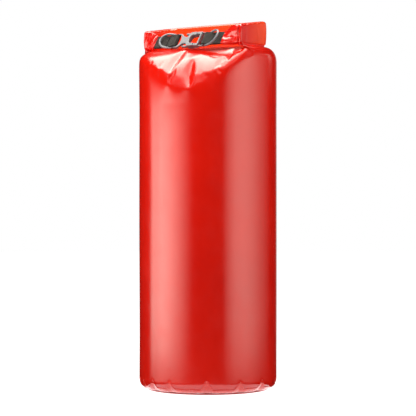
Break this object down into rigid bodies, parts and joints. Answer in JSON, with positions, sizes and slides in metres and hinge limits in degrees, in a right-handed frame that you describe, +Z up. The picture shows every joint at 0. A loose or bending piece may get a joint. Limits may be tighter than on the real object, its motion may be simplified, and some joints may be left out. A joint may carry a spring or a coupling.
{
  "type": "roll-top dry bag",
  "caption": "Closed cylindrical roll-top dry bag with a welded round base, a rolled mouth whose ends meet at a side-release buckle, and a D-ring on each strap.",
  "frame": {"origin": "centre of the underside of the base disc, where the bag stands", "axes": "+Z up along the bag, -Y towards the side with the buckle, +X to the right of someone facing the buckle"},
  "size_m": [0.2264, 0.2264, 0.599],
  "materials": {
    "coated_fabric": "glossy coated polyester fabric, red",
    "base_fabric": "glossy coated fabric, welded, red",
    "mouth_fabric": "glossy coated fabric, rolled, red",
    "seam_tape": "heat-applied seam tape",
    "stiffener": "flexible plastic strip",
    "webbing": "woven polyester webbing, dark grey",
    "buckle_plastic": "moulded acetal, grey, satin",
    "latch_plastic": "moulded acetal, grey, satin",
    "ring_plastic": "moulded acetal, grey, satin"
  },
  "bodies": {
    "bag": {"body_tube": "coated_fabric", "shoulder": "coated_fabric", "base_disc": "base_fabric", "base_hem": "base_fabric", "base_seam_tape": "seam_tape", "body_seam_tape": "seam_tape", "roll_main": "mouth_fabric", "stiffener_inner_main": "stiffener", "stiffener_outer_main": "stiffener", "strap_right": "webbing", "buckle_female": "buckle_plastic"},
    "male_side": {"buckle_male": "buckle_plastic", "strap_left": "webbing", "roll_left_end": "mouth_fabric", "stiffener_inner_left": "stiffener", "stiffener_outer_left": "stiffener"},
    "upper_latch": {"latch_arm_upper": "latch_plastic"},
    "lower_latch": {"latch_arm_lower": "latch_plastic"},
    "left_ring": {"ring_left": "ring_plastic"},
    "right_ring": {"ring_right": "ring_plastic"}
  },
  "joints": [
    {"name": "buckle_pull", "type": "slide", "parent": "bag", "child": "male_side", "axis": [-1, 0, 0], "range_m": [0, 0.03], "deforming": ["latch_arm_upper", "latch_arm_lower"]},
    {"name": "latch_press_upper", "type": "hinge", "parent": "male_side", "child": "upper_latch", "pos_m": [0.003, -0.03836, 0.57752], "axis": [0, -0.809, 0.5878], "range_deg": [0, 6], "stiffness_Nm_per_rad": 2},
    {"name": "latch_press_lower", "type": "hinge", "parent": "male_side", "child": "lower_latch", "pos_m": [0.003, -0.05364, 0.55648], "axis": [0, 0.809, -0.5878], "range_deg": [0, 6], "stiffness_Nm_per_rad": 2},
    {"name": "ring_left_swing", "type": "hinge", "parent": "male_side", "child": "left_ring", "pos_m": [-0.0355, -0.046, 0.567], "axis": [0, 0.5878, 0.809], "range_deg": [0, 90]},
    {"name": "ring_right_swing", "type": "hinge", "parent": "bag", "child": "right_ring", "pos_m": [0.0315, -0.046, 0.567], "axis": [0, -0.5878, -0.809], "range_deg": [0, 90]}
  ]
}
